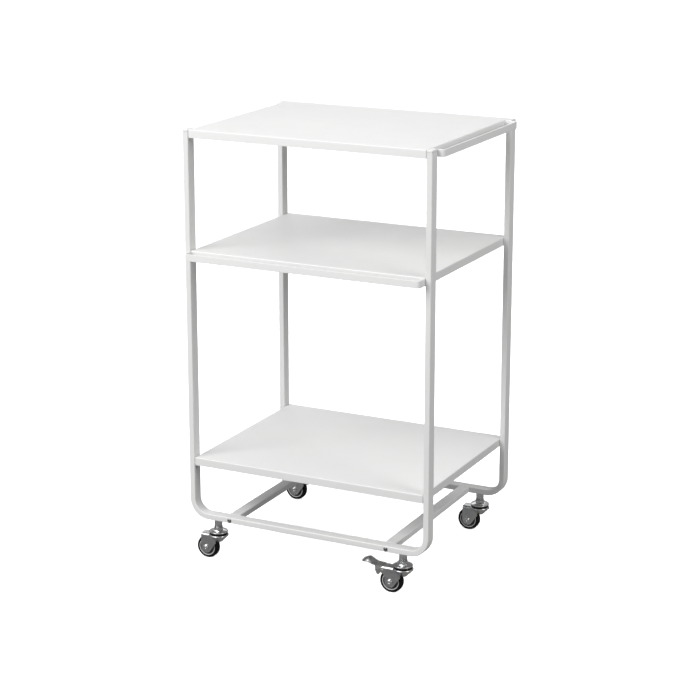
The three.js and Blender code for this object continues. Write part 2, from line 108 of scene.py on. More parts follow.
LEAF = {"start": -53.0, "length": 19.2, "half": 0.62, "height": 0.3, "vein": 0.10, "vein_deep": 0.2}
SHOE = {"back": -41.7, "tip": -44.3, "low": 29.5, "high": 33.3, "past": 0.2}
PIN = {"r": 1.5, "head": 0.9, "thick": 0.7, "past": 0.9}

FLOOR = {"radius": 30.0, "thick": 0.001, "sun": 3.9, "sun_angle": 60.0}
STUDIO = {"dark": 0.30, "bright": 0.42, "bright_side": (-0.90, 0.0, 0.44), "below": 0.23}
SOFTBOXES = (
    # name, place and side in metres, power in watts
    ("key_softbox", (-1.0, -2.3, 2.0), 2.2, 75),
    ("overhead_softbox", (-0.3, -0.6, 2.6), 2.0, 5),
    ("back_softbox", (-0.9, 2.1, 1.9), 1.6, 9.5),
    ("right_softbox", (2.3, -0.5, 1.7), 1.2, 24),
)
CAMERA = {"azimuth": 0.462, "elevation": 0.259, "distance": 3.4175, "aim": (0.0005, 0.0126, 0.0417),
          "lens": 102.5, "shift": -0.05, "reach": 100.0}

CORNERS = ("front_left", "front_right", "back_left", "back_right")
BRAKED = ("front_right", "back_left")
SHELVES = ("top_shelf", "middle_shelf", "bottom_shelf")

DRILL = 3.0  # half the length of a drill that goes through one wall
THROUGH = 30.0  # half the length of a tool that goes through a whole caster

ALONG_Y = Matrix.Rotation(-math.pi / 2, 4, "X")
ALONG_X = Matrix.Rotation(math.pi / 2, 4, "Y")


# ---------------- shape helpers
def filleted(corners, closed=True, steps=5):
    """The points of an outline whose corners (a, b, radius) are rounded."""
    points = []
    count = len(corners)
    for i, (a, b, radius) in enumerate(corners):
        here = Vector((a, b))
        if radius == 0 or (not closed and i in (0, count - 1)):
            points.append((a, b))
            continue
        before = (Vector(corners[i - 1][:2]) - here).normalized()
        after = (Vector(corners[(i + 1) % count][:2]) - here).normalized()
        half = before.angle(after) / 2
        centre = here + (before + after).normalized() * radius / math.sin(half)
        start = here + before * radius / math.tan(half) - centre
        end = here + after * radius / math.tan(half) - centre
        first = math.atan2(start.y, start.x)
        swing = (math.atan2(end.y, end.x) - first + math.pi) % (2 * math.pi) - math.pi
        for k in range(steps + 1):
            angle = first + swing * k / steps
            points.append((centre.x + radius * math.cos(angle), centre.y + radius * math.sin(angle)))
    return points


def rounded_rect(width, height, radius, steps=5):
    x, y = width / 2, height / 2
    return filleted([(-x, -y, radius), (x, -y, radius), (x, y, radius), (-x, y, radius)], steps=steps)


def loft(loops, closed=False):
    """A skin over loops of equal length, with capped ends unless it closes on itself."""
    shape = bmesh.new()
    rings = [[shape.verts.new(point) for point in loop] for loop in loops]
    pairs = list(zip(rings, rings[1:]))
    if closed:
        pairs.append((rings[-1], rings[0]))
    for one, two in pairs:
        for i in range(len(one)):
            j = (i + 1) % len(one)
            shape.faces.new((one[i], one[j], two[j], two[i]))
    if not closed:
        shape.faces.new(rings[0])
        shape.faces.new(rings[-1])
    bmesh.ops.recalc_face_normals(shape, faces=shape.faces)
    return shape


def turned(profile, segments=48, ring=False):
    """A profile of (radius, height) turned about Z: a solid from axis to axis, or a closed ring."""
    shape = bmesh.new()
    turns = [2 * math.pi * i / segments for i in range(segments)]
    rings = []
    for radius, height in profile:
        if radius < 1e-6:
            rings.append([shape.verts.new((0, 0, height))] * segments)
        else:
            circle = [(radius * math.cos(t), radius * math.sin(t), height) for t in turns]
            rings.append([shape.verts.new(point) for point in circle])
    pairs = list(zip(rings, rings[1:]))
    if ring:
        pairs.append((rings[-1], rings[0]))
    for one, two in pairs:
        for i in range(segments):
            j = (i + 1) % segments
            corners = list(dict.fromkeys((one[i], one[j], two[j], two[i])))
            if len(corners) > 2:
                shape.faces.new(corners)
    bmesh.ops.recalc_face_normals(shape, faces=shape.faces)
    return shape


def lathe(corners, segments, ring=False, steps=5):
    """A turned shape whose profile is given as corners (radius, height, rounding)."""
    return turned(filleted(corners, closed=ring, steps=steps), segments, ring)


def mirrored(corners):
    """A profile's upper half, with its mirror image before it."""
    return [(a, -b, radius) for a, b, radius in reversed(corners)] + corners


def prism(outline, low, high, soften=0.0):
    """An outline in X and Y raised along Z, with the edges of its two ends softened."""
    shape = loft([[(a, b, z) for a, b in outline] for z in (low, high)])
    if soften:
        rims = [e for e in shape.edges if abs(e.verts[0].co.z - e.verts[1].co.z) < 1e-6]
        bmesh.ops.bevel(shape, geom=rims, offset=soften, segments=2, profile=0.5, affect="EDGES")
    return shape


def across_y(outline, low, high, soften=0.0):
    """An outline in X and Z, raised along Y."""
    flipped = [(a, -b) for a, b in outline]
    return moved(prism(flipped, low, high, soften), ALONG_Y)


def rod(radius, low, high, segments=24):
    return turned([(0, low), (radius, low), (radius, high), (0, high)], segments)


def moved(shape, matrix):
    bmesh.ops.transform(shape, matrix=matrix, verts=shape.verts)
    return shape


def shifted(shape, x, y, z):
    return moved(shape, Matrix.Translation((x, y, z)))


def together(*shapes):
    """Several closed shapes as one mesh."""
    whole = bmesh.new()
    for shape in shapes:
        scratch = bpy.data.meshes.new("scratch")
        shape.to_mesh(scratch)
        whole.from_mesh(scratch)
        bpy.data.meshes.remove(scratch)
    return whole


def combined(shape, tool, operation="DIFFERENCE"):
    """The shape cut by, joined with or kept inside the tool."""
    scratch = []
    for part in (shape, tool):
        mesh = bpy.data.meshes.new("scratch")
        part.to_mesh(mesh)
        scratch.append(bpy.data.objects.new("scratch", mesh))
        bpy.context.collection.objects.link(scratch[-1])
    modifier = scratch[0].modifiers.new("combine", "BOOLEAN")
    modifier.object = scratch[1]
    modifier.operation = operation
    modifier.solver = "EXACT"
    graph = bpy.context.evaluated_depsgraph_get()
    result = bmesh.new()
    result.from_mesh(scratch[0].evaluated_get(graph).to_mesh())
    for obj in scratch:
        bpy.data.objects.remove(obj)
    return result


def swept(section, stations, hollow=None):
    """A section (a, b) carried along stations (centre, a's axis, b's axis), hollow or solid."""
    def loops(outline):
        return [[centre + one * a + two * b for a, b in outline] for centre, one, two in stations]

    if hollow is None:
        return loft(loops(section))
    shape = bmesh.new()
    skins = []
    for outline in (section, hollow):
        skins.append([[shape.verts.new(point) for point in loop] for loop in loops(outline)])
    count = len(section)
    for rings in skins:
        for one, two in zip(rings, rings[1:]):
            for i in range(count):
                j = (i + 1) % count
                shape.faces.new((one[i], one[j], two[j], two[i]))
    for end in (0, -1):
        outer, inner = skins[0][end], skins[1][end]
        for i in range(count):
            j = (i + 1) % count
            shape.faces.new((outer[i], outer[j], inner[j], inner[i]))
    bmesh.ops.recalc_face_normals(shape, faces=shape.faces)
    return shape


def u_path(half, reach, bend, steps):
    """Places and outward directions along a U that hangs from two open ends at height 0."""
    path = [(Vector((-half, 0)), Vector((-1, 0)))]
    for side in (-1, 1):
        middle = Vector((side * (half - bend), bend - reach))
        for k in range(steps + 1):
            turn = math.pi / 2 * (k / steps + (side > 0))
            out = Vector((-math.cos(turn), -math.sin(turn)))
            path.append((middle + out * bend, out))
    path.append((Vector((half, 0)), Vector((1, 0))))
    return path


def weld_bead(radius, height, sides=8):
    """A rippled bead laid round a vertical post."""
    steps = WELD["ripples"] * 4
    loops = []
    for i in range(steps):
        turn = 2 * math.pi * i / steps
        ripple = WELD["ripple"] * math.cos(turn * WELD["ripples"])
        wander = WELD["wander"] * math.cos(3 * turn + 1)
        swell = WELD["size"] * (1 + ripple + wander)
        out = Vector((math.cos(turn), math.sin(turn), 0))
        loop = []
        for k in range(sides):
            around = 2 * math.pi * k / sides
            level = Vector((0, 0, height + swell * math.sin(around)))
            loop.append(out * (radius + swell * math.cos(around)) + level)
        loops.append(loop)
    return loft(loops, closed=True)


# ---------------- materials
def new_material(name):
    material = bpy.data.materials.new(name)
    material.use_nodes = True
    tree = material.node_tree
    shader = tree.nodes["Principled BSDF"]
    place = tree.nodes.new("ShaderNodeTexCoord").outputs["Object"]
    return material, tree, shader, place


def noise(tree, place, scale, detail=2.0, stretch=(1, 1, 1)):
    """Noise with about `scale` blobs to the metre, stretched along the axes given less than 1."""
    mapping = tree.nodes.new("ShaderNodeMapping")
    mapping.inputs["Scale"].default_value = stretch
    tree.links.new(place, mapping.inputs["Vector"])
    texture = tree.nodes.new("ShaderNodeTexNoise")
    texture.inputs["Scale"].default_value = scale
    texture.inputs["Detail"].default_value = detail
    tree.links.new(mapping.outputs["Vector"], texture.inputs["Vector"])
    return texture.outputs["Fac"]


def spread(tree, value, low, high, start=0.3, end=0.7):
    """A 0-to-1 value between start and end mapped to low and high."""
    node = tree.nodes.new("ShaderNodeMapRange")
    node.inputs["From Min"].default_value = start
    node.inputs["From Max"].default_value = end
    node.inputs["To Min"].default_value = low
    node.inputs["To Max"].default_value = high
    tree.links.new(value, node.inputs["Value"])
    return node.outputs["Result"]


def blend_colours(tree, factor, one, two):
    """Colour one where the factor is 0 and colour two where it is 1. Either may be a socket."""
    node = tree.nodes.new("ShaderNodeMix")
    node.data_type = "RGBA"
    tree.links.new(factor, node.inputs["Factor"])
    for socket, colour in (("A", one), ("B", two)):
        target = [s for s in node.inputs if s.name == socket and s.type == "RGBA"][0]
        if isinstance(colour, tuple):
            target.default_value = (*colour, 1)
        else:
            tree.links.new(colour, target)
    return [s for s in node.outputs if s.type == "RGBA"][0]


def blend_values(tree, factor, one, two):
    """Value one where the factor is 0 and value two where it is 1. Either may be a socket."""
    node = tree.nodes.new("ShaderNodeMix")
    tree.links.new(factor, node.inputs["Factor"])
    for socket, value in (("A", one), ("B", two)):
        if isinstance(value, float):
            node.inputs[socket].default_value = value
        else:
            tree.links.new(value, node.inputs[socket])
    return node.outputs["Result"]


def uneven_colour(tree, place, scale, detail, one, two):
    """A colour that drifts between one and two."""
    drift = spread(tree, noise(tree, place, scale, detail), 0.0, 1.0)
    return blend_colours(tree, drift, one, two)


def uneven_roughness(tree, shader, place, scale, detail, low, high):
    drift = spread(tree, noise(tree, place, scale, detail), low, high)
    tree.links.new(drift, shader.inputs["Roughness"])


def plain_finish(name, colour, roughness, edge=None, metallic=0.0):
    """Drifting colour and roughness, each (scale, detail, low, high), with another tone on sharp edges."""
    material, tree, shader, place = new_material(name)
    tone = uneven_colour(tree, place, *colour)
    if edge:
        tone = blend_colours(tree, edge_mask(tree), tone, edge)
    tree.links.new(tone, shader.inputs["Base Color"])
    uneven_roughness(tree, shader, place, *roughness)
    shader.inputs["Metallic"].default_value = metallic
    return material, tree, shader, place


def add_bump(tree, shader, layers):
    """Bump from (height, depth in millimetres) layers, finest last."""
    normal = None
    for height, depth in layers:
        bump = tree.nodes.new("ShaderNodeBump")
        bump.inputs["Strength"].default_value = 1.0
        bump.inputs["Distance"].default_value = depth * MM
        tree.links.new(height, bump.inputs["Height"])
        if normal:
            tree.links.new(normal, bump.inputs["Normal"])
        normal = bump.outputs["Normal"]
    tree.links.new(normal, shader.inputs["Normal"])


def edge_mask(tree, start=0.52, end=0.60):
    """1 on sharp outer edges and 0 on flat faces."""
    geometry = tree.nodes.new("ShaderNodeNewGeometry")
    return spread(tree, geometry.outputs["Pointiness"], 0.0, 1.0, start, end)


def white_paint():
    """Powder coat: a fine orange peel, a little uneven in gloss, rubbed thin on sharp edges."""
    material, tree, shader, place = new_material("white_powder_coat")
    tone = uneven_colour(tree, place, 5, 3, (0.800, 0.803, 0.800), (0.832, 0.832, 0.822))
    specks = spread(tree, noise(tree, place, 420, 2), 0.0, 0.35, 0.70, 0.78)
    tone = blend_colours(tree, specks, tone, (0.70, 0.70, 0.69))
    worn = spread(tree, edge_mask(tree), 0.0, 0.35, 0, 1)
    tone = blend_colours(tree, worn, tone, (0.72, 0.72, 0.71))
    tree.links.new(tone, shader.inputs["Base Color"])
    uneven_roughness(tree, shader, place, 30, 4, 0.42, 0.54)
    shader.inputs["Coat Weight"].default_value = 0.10
    shader.inputs["Coat Roughness"].default_value = 0.35
    peel = noise(tree, place, 650, 1)
    add_bump(tree, shader, [(noise(tree, place, 60, 1), 0.02), (peel, 0.016)])
    return material


def white_plastic():
    """Moulded polyethylene with a spark-eroded surface."""
    colour = (40, 3, (0.78, 0.785, 0.78), (0.82, 0.82, 0.81))
    roughness = (300, 3, 0.42, 0.58)
    material, tree, shader, place = plain_finish("white_moulded_plastic", colour, roughness)
    shader.inputs["Subsurface Weight"].default_value = 0.06
    shader.inputs["Subsurface Radius"].default_value = (0.002, 0.002, 0.002)
    add_bump(tree, shader, [(noise(tree, place, 1800, 2), 0.012)])
    return material


def zinc():
    """Bright zinc plate: faint blue and straw stains, press marks and rubbed edges."""
    colour = (45, 4, (0.52, 0.535, 0.555), (0.64, 0.63, 0.60))
    roughness, edge = (160, 4, 0.20, 0.36), (0.80, 0.80, 0.79)
    material, tree, shader, place = plain_finish("bright_zinc", colour, roughness, edge, 1.0)
    drawn = noise(tree, place, 900, 2, (0.06, 1, 1))
    add_bump(tree, shader, [(noise(tree, place, 90, 1), 0.018), (drawn, 0.0015)])
    return material


def chrome():
    """Bright plate with hair scratches."""
    colour = (80, 4, (0.66, 0.67, 0.68), (0.75, 0.75, 0.745))
    roughness = (240, 4, 0.14, 0.26)
    material, tree, shader, place = plain_finish("bright_plate", colour, roughness, metallic=1.0)
    add_bump(tree, shader, [(noise(tree, place, 1500, 2, (1, 1, 0.05)), 0.001)])
    return material


def dark_steel():
    """Darkened steel, lighter on its sharp edges: a painted highlight along the rims of the bolt heads."""
    colour = (400, 3, (0.17, 0.17, 0.175), (0.27, 0.265, 0.26))
    # The lighter tone on sharp edges is a painted highlight.
    roughness, edge = (700, 3, 0.28, 0.48), (0.50, 0.50, 0.49)
    material, tree, shader, place = plain_finish("darkened_steel", colour, roughness, edge, 0.9)
    add_bump(tree, shader, [(noise(tree, place, 1500, 2), 0.010)])
    return material


def nylon():
    """Grey glass-filled nylon."""
    colour = (250, 4, (0.10, 0.103, 0.107), (0.15, 0.154, 0.158))
    roughness, edge = (500, 3, 0.34, 0.52), (0.26, 0.265, 0.265)
    material, tree, shader, place = plain_finish("grey_nylon", colour, roughness, edge)
    add_bump(tree, shader, [(noise(tree, place, 900, 3), 0.015)])
    return material


def tyre_rubber():
    """Black rubber, scuffed paler where it runs and where dust settles."""
    material, tree, shader, place = new_material("black_rubber")
    tone = uneven_colour(tree, place, 300, 3, (0.004, 0.004, 0.005), (0.008, 0.008, 0.008))
    scuff = spread(tree, noise(tree, place, 120, 6), 0.0, 0.25, 0.52, 0.72)
    tone = blend_colours(tree, scuff, tone, (0.028, 0.027, 0.026))
    tree.links.new(tone, shader.inputs["Base Color"])
    uneven_roughness(tree, shader, place, 260, 4, 0.52, 0.80)
    shader.inputs["Specular IOR Level"].default_value = 0.12
    add_bump(tree, shader, [(noise(tree, place, 1300, 3), 0.03)])
    return material


FINISHES = {
    "white_paint": white_paint(),
    "white_plastic": white_plastic(),
    "zinc": zinc(),
    "chrome": chrome(),
    "dark_steel": dark_steel(),
    "nylon": nylon(),
    "tyre_rubber": tyre_rubber(),
}
SLOT_OF = {part["node"]: part["material_slot"] for part in frame["record"]["subparts"]}
BODY_OF = {node: body for body, nodes in frame["record"]["behaviour"]["bodies"].items() for node in nodes}


# ---------------- making pieces
EDGE_ANGLE = 35.0


def add_piece(name, shape, place, body, slot, soften=0.0, sharp=EDGE_ANGLE):
    """A shape in millimetres becomes a piece at `place`, in metres, on a body."""
    moved(shape, Matrix.Translation(place) @ Matrix.Scale(MM, 4))
    mesh = bpy.data.meshes.new(name)
    shape.to_mesh(mesh)
    shape.free()
    mesh.shade_smooth()
    mesh.set_sharp_from_angle(angle=math.radians(sharp))
    mesh.materials.append(FINISHES[slot])
    piece = bpy.data.objects.new(name, mesh)
    bpy.context.collection.objects.link(piece)
    if soften:
        edges = piece.modifiers.new("edges", "BEVEL")
        edges.width = soften * MM
        edges.segments = 2
        edges.limit_method = "ANGLE"
        edges.angle_limit = math.radians(EDGE_ANGLE)
        edges.miter_outer = "MITER_ARC"
    normals = piece.modifiers.new("normals", "WEIGHTED_NORMAL")
    normals.keep_sharp = True
    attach(piece, body)
    return piece


def replace_node(node, shape, place, **options):
    """The shape stands for the CAD node, on the same body and in the same finish."""
    piece = add_piece(f"{node}_visual", shape, place, BODY_OF[node], SLOT_OF[node], **options)
    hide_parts(node)


def box_mm(node):
    low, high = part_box(node)
    return Vector(low) / MM, Vector(high) / MM


def middle_of(node):
    low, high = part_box(node)
    return (Vector(low) + Vector(high)) / 2


# ---------------- the frames
SHELF_TOP = {name: box_mm(name)[1].z for name in SHELVES}


def u_frame(side):
    """One U frame about its own middle in X and Y. side is -1 for the front frame and 1 for the back."""
    low, high = box_mm("front_frame" if side < 0 else "back_frame")
    half = (high.x - low.x - TUBE["thin"]) / 2
    underside = low.z + BOSS["length"]
    reach = high.z - underside - TUBE["thin"] / 2
    out_y = Vector((0, 1, 0))
    stations = []
    for place, out in u_path(half, reach, BEND, steps=18):
        centre = Vector((place.x, 0, high.z + place.y))
        stations.append((centre, Vector((out.x, 0, out.y)), out_y))
    section = rounded_rect(TUBE["thin"], TUBE["wide"], TUBE["corner"])
    wall = 2 * TUBE["wall"]
    hollow = rounded_rect(TUBE["thin"] - wall, TUBE["wide"] - wall, TUBE["corner"] - TUBE["wall"])
    body = swept(section, stations, hollow)

    inner_face = half - TUBE["thin"] / 2
    swivel_x = (middle_of("front_right_stem").x - middle_of("front_left_stem").x) / 2 / MM
    bolt_x = (middle_of("right_crossbar").x - middle_of("left_crossbar").x) / 2 / MM
    drills = []
    for hand in (-1, 1):
        for name in SHELVES:
            hole = moved(rod(SCREW["hole"], -DRILL, DRILL), ALONG_X)
            drills.append(shifted(hole, hand * inner_face, 0, SHELF_TOP[name] - SHEET["flange"] / 2))
        spare = moved(rod(SPARE_HOLE["r"], -DRILL, DRILL), ALONG_X)
        drills.append(shifted(spare, hand * inner_face, side * SPARE_HOLE["in"], SPARE_HOLE["z"]))
        bolt_hole = moved(rod(BOLT["hole"], -TUBE["wide"], TUBE["wide"]), ALONG_Y)
        drills.append(shifted(bolt_hole, hand * bolt_x, 0, underside + TUBE["thin"] / 2))
        drills.append(shifted(rod(BOSS["bore"], -DRILL, DRILL), hand * swivel_x, 0, underside))
    return combined(body, together(*drills))


def stem_sleeve(low, high):
    """The turned sleeve under the frame that takes a caster's stem."""
    return lathe([
        (BOSS["bore"], low, 0.3), (BOSS["r"], low, 0.5), (BOSS["r"], high, 0), (BOSS["bore"], high, 0),
    ], 40, ring=True, steps=3)


def place_frames():
    for node, side in (("front_frame", -1), ("back_frame", 1)):
        middle = middle_of(node)
        replace_node(node, u_frame(side), (middle.x, middle.y, 0))
        low = box_mm(node)[0].z
        high = low + BOSS["length"] - BOSS["clear"]
        for hand in ("left", "right"):
            corner = f"{'front' if side < 0 else 'back'}_{hand}"
            axis = middle_of(f"{corner}_stem")
            place = (axis.x, axis.y, 0)
            add_piece(f"{corner}_stem_sleeve", stem_sleeve(low, high), place, "frame", "zinc")
            add_piece(f"{corner}_sleeve_weld", weld_bead(BOSS["r"], high), place, "frame", "white_paint")


def leg_cap():
    """A cap about its tube's top: a crowned flange with a soft edge and a plug."""
    sharpest = 0.5
    crown = [(0.25, 0.35), (0.0, 0.6), (0.0, 2.7), (0.12, 3.2), (0.45, 3.62), (0.95, 3.85)]
    crown.append((2.4, CAP["height"]))
    loops = []
    for inset, z in crown:
        radius = max(TUBE["corner"] - inset, sharpest)
        outline = rounded_rect(TUBE["thin"] - 2 * inset, TUBE["wide"] - 2 * inset, radius)
        loops.append([(a, b, z) for a, b in outline])
    inside = 2 * TUBE["wall"] + 2 * CAP["clear"]
    stopper = rounded_rect(TUBE["thin"] - inside, TUBE["wide"] - inside, CAP["plug_corner"])
    return together(loft(loops), prism(stopper, -CAP["plug"], CAP["plug_top"], CAP["chamfer"]))


def place_caps():
    frame_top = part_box("front_frame")[1][2]
    for corner in CORNERS:
        node = f"{corner}_leg_cap"
        middle = middle_of(node)
        replace_node(node, leg_cap(), (middle.x, middle.y, frame_top))


# ---------------- the crossbars
def place_crossbars():
    for node in ("left_crossbar", "right_crossbar"):
        low, high = box_mm(node)
        length = (high.y - low.y) / 2
        section = rounded_rect(TUBE["wide"], TUBE["thin"], TUBE["corner"])
        body = moved(prism(section, -length, length, soften=0.25), ALONG_Y)
        for end in (-1, 1):
            thread = moved(rod(BOLT["hole"], -BOLT["thread"], BOLT["thread"]), ALONG_Y)
            body = combined(body, shifted(thread, 0, end * length, 0))
        replace_node(node, body, middle_of(node))


def hexagon(radius):
    return [(radius * math.cos(math.pi / 3 * i), radius * math.sin(math.pi / 3 * i)) for i in range(6)]


def crossbar_bolt():
    """A button-head socket screw along -Y about the frame's outer face."""
    rise, head, shank, end = BOLT["rise"], BOLT["head"], BOLT["shank"], -BOLT["length"]
    body = lathe([
        (0, rise, 0), (head * 0.5, rise, 1.6), (head, 0.35, 0.3), (head, 0, 0),
        (shank, 0, 0), (shank, end, 0.6), (0, end, 0),
    ], 32)
    body = combined(body, prism(hexagon(BOLT["socket"]), rise - BOLT["deep"], rise + 1))
    return moved(shifted(body, 0, 0, BOLT["gap"]), ALONG_Y)


def place_crossbar_bolts():
    stands_out = BOLT["rise"] + BOLT["gap"]
    for corner in CORNERS:
        node = f"{corner}_crossbar_bolt"
        low, high = box_mm(node)
        body = crossbar_bolt()
        outer_face = high.y - stands_out
        if corner.startswith("front"):
            moved(body, Matrix.Rotation(math.pi, 4, "Z"))
            outer_face = low.y + stands_out
        middle = middle_of(node)
        replace_node(node, body, (middle.x, outer_face * MM, middle.z))


# ---------------- the shelves
def shelf_pan(width, depth):
    """A folded sheet pan about its top's middle: a flat deck with a flange turned down all round."""
    thick, edge, low, rim = SHEET["thick"], SHEET["edge"], -SHEET["flange"], SHEET["rim"]
    rim_in, rim_up = rim / 3, 0.08
    outer_steps, inner_steps = 6, 3
    outline = []
    for k in range(outer_steps + 1):
        turn = math.pi / 2 * k / outer_steps
        outline.append((edge * (1 - math.sin(turn)), edge * (math.cos(turn) - 1)))
    outline += [(0, low + rim), (rim_in, low + rim_up), (rim, low)]
    outline += [(thick - rim, low), (thick - rim_in, low + rim_up), (thick, low + rim)]
    inner = edge - thick
    for k in range(inner_steps + 1):
        turn = math.pi / 2 * k / inner_steps
        outline.append((thick + inner * (1 - math.cos(turn)), -thick - inner * (1 - math.sin(turn))))
    loops = []
    for inset, z in outline:
        radius = max(SHEET["corner"] - inset * 0.3, SHEET["least"])
        loop = rounded_rect(width - 2 * inset, depth - 2 * inset, radius, steps=4)
        loops.append([(a, b, z) for a, b in loop])
    return loft(loops)


def pan_screw():
    """A pan-head screw along +X, its head's seat at 0."""
    head, rise, shank, end = SCREW["head"], SCREW["rise"], SCREW["hole"] - SCREW["slack"], SCREW["length"]
    body = lathe([
        (0, -rise, 0), (head * 0.7, -rise, 1.2), (head, -rise * 0.3, 0.4), (head, 0, 0),
        (shank, 0, 0), (shank, end, 0.5), (0, end, 0),
    ], 24, steps=4)
    a, b = SCREW["slot"] / 2, SCREW["slot_wide"] / 2
    for turn in (0, math.pi / 2):
        slot = prism([(-a, -b), (a, -b), (a, b), (-a, b)], -rise - 1, SCREW["slot_deep"] - rise)
        body = combined(body, moved(slot, Matrix.Rotation(turn + SCREW["turn"], 4, "Z")))
    return moved(body, ALONG_X)


def place_shelves():
    for node in SHELVES:
        low, high = box_mm(node)
        width, depth = high.x - low.x, high.y - low.y
        pan = shelf_pan(width, depth)
        post_y = (middle_of("back_frame").y - middle_of("front_frame").y) / 2 / MM
        seat_gap = 0.02
        inside = width / 2 - SHEET["thick"] - seat_gap
        drills, screws = [], []
        for hand in (-1, 1):
            for side in (-1, 1):
                hole = moved(rod(SCREW["hole"], -DRILL, DRILL), ALONG_X)
                drills.append(shifted(hole, hand * width / 2, side * post_y, -SHEET["flange"] / 2))
                screw = pan_screw()
                if hand < 0:
                    moved(screw, Matrix.Rotation(math.pi, 4, "Z"))
                screws.append(shifted(screw, hand * inside, side * post_y, -SHEET["flange"] / 2))
        middle = middle_of(node)
        place = (middle.x, middle.y, high.z * MM)
        replace_node(node, combined(pan, together(*drills)), place)
        add_piece(f"{node}_screws", together(*screws), place, "frame", "zinc")


# ---------------- the rails
def strip_rail(length, reach):
    """A flat strip bent into a shallow U that opens towards +Y, about the middle of its open side."""
    thick, height, bend = STRIP["thick"], STRIP["height"], STRIP["bend"]
    section = rounded_rect(thick, height, STRIP["edge"], steps=3)
    up = Vector((0, 0, 1))
    stations = []
    for place, out in u_path(length / 2 - thick / 2, reach - thick / 2, bend - thick / 2, steps=10):
        stations.append((Vector((place.x, place.y, 0)), Vector((out.x, out.y, 0)), up))
    beads = []
    for hand in (-1, 1):
        for face in (-1, 1):
            bead = rod(BEAD["r"], BEAD["short"] - height / 2, height / 2 - BEAD["short"], segments=10)
            beads.append(shifted(bead, hand * (length - thick) / 2 + face * thick / 2, -BEAD["in"], 0))
    return together(swept(section, stations), *beads)


def place_rails():
    low, high = box_mm("middle_front_rail")
    rail = strip_rail(high.x - low.x, high.y - low.y)
    middle = middle_of("middle_front_rail")
    replace_node("middle_front_rail", rail, (middle.x, high.y * MM, middle.z))
    low, high = box_mm("top_side_rail")
    rail = moved(strip_rail(high.y - low.y, high.x - low.x), Matrix.Rotation(math.pi / 2, 4, "Z"))
    middle = middle_of("top_side_rail")
    replace_node("top_side_rail", rail, (low.x * MM, middle.y, middle.z))


# ---------------- the casters
def on_axle(shape):
    """A shape drawn along Z, laid on the wheel's axle."""
    return shifted(moved(shape, ALONG_Y), -WHEEL["trail"], 0, WHEEL["r"])


def on_pivot(shape):
    """A shape drawn along Z, laid on the pedal's pivot."""
    return shifted(moved(shape, ALONG_Y), PEDAL["pivot_x"], 0, PEDAL["pivot_z"])


def stem():
    """The stem from its rivet head up, with a flat washer and a spring washer on it."""
    r, head, low, rivet, top = STEM["r"], STEM["head"], STEM["low"], STEM["rivet"], STEM["top"]
    flat, split = WASHER["r"], WASHER["split"]
    spring = flat - 0.3
    return lathe([
        (0, low, 0), (head - 0.6, low, 0.8), (head, rivet, 0.3), (r, rivet, 0),
        (r, WASHER["low"], 0), (flat, WASHER["low"], 0.25), (flat, split - 0.15, 0.25), (flat - 1, split, 0),
        (spring, split + 0.1, 0.25), (spring, WASHER["high"], 0.25), (r, WASHER["high"], 0),
        (r, top, 0.8), (0, top, 0),
    ], 40, steps=3)


def hexagonal(flats, bore, low, high, chamfer):
    """A hexagon nut with its corners turned off at both ends."""
    radius = flats / math.sqrt(3)
    body = prism(hexagon(radius), low, high)
    face, widest = flats / 2 - NUT["soft"], radius + NUT["soft"]
    limit = turned([
        (0, low), (face, low), (widest, low + chamfer), (widest, high - chamfer), (face, high), (0, high),
    ], 48)
    body = combined(body, limit, "INTERSECT")
    return combined(body, rod(bore, low - 1, high + 1, 32))


def race_cap():
    """The domed cap over the swivel bearing."""
    r, low, lip, crown, crown_r = RACE["r"], RACE["low"], RACE["lip"], RACE["crown"], RACE["crown_r"]
    return lathe([
        (STEM["bore"], low, 0.2), (r - 0.2, low, 0.25), (r, lip - 0.1, 0.7), (r - 1.6, lip + 0.5, 1.2),
        (crown_r + 0.8, crown - 0.25, 2.0), (crown_r - 1.2, crown, 0.8), (STEM["bore"], crown, 0.2),
    ], 64, ring=True)


def race_balls():
    """Loose balls in their groove, spaced by a thin cage."""
    middle, circle, ball = (FORK["top"] + RACE["low"]) / 2, RACE["circle"], RACE["ball"]
    near, far = circle - CAGE["half"], circle + CAGE["half"]
    low, high = middle - CAGE["rise"], middle + CAGE["rise"]
    cage = [(near, low, 0.1), (far, low, 0.1), (far, high, 0.1), (near, high, 0.1)]
    shapes = [lathe(cage, 60, ring=True, steps=2)]
    tilts = [math.pi * k / 8 for k in range(9)]
    half_circle = [(ball * math.sin(tilt), -ball * math.cos(tilt)) for tilt in tilts]
    for i in range(RACE["balls"]):
        turn = 2 * math.pi * i / RACE["balls"]
        sphere = turned(half_circle, 12)
        shapes.append(shifted(sphere, circle * math.cos(turn), circle * math.sin(turn), middle))
    return together(*shapes)


def painted_shade_band():
    """A black ring that fills the gap between the race cap and the fork: painted shade, a dark band where
    the groove lies in shade.
    """
    low, high = FORK["top"] + SHADE_BAND["lift"], RACE["low"]
    return lathe([
        (SHADE_BAND["in"], low, 0.2), (SHADE_BAND["out"], low, 0.2), (SHADE_BAND["out"], high, 0), (SHADE_BAND["in"], high, 0),
    ], 64, ring=True, steps=3)


def fork_walls(shrink, braked):
    """The fork's channel as a solid along X, or the room in it where `shrink` is the sheet."""
    half, fold, top = FORK["half"] - shrink, FORK["fold"] - shrink, FORK["top"] - shrink
    foot = -5
    section = filleted([(-half, foot, 0), (half, foot, 0), (half, top, fold), (-half, top, fold)], steps=8)
    low = EAR["back"] if braked else FORK["back"]
    high = FORK["front"]
    if shrink:
        low -= 20
        high += 2
    turned_round = Matrix(((0, 0, 1, 0), (1, 0, 0, 0), (0, 1, 0, 0), (0, 0, 0, 1)))
    return moved(prism(section, low, high), turned_round)


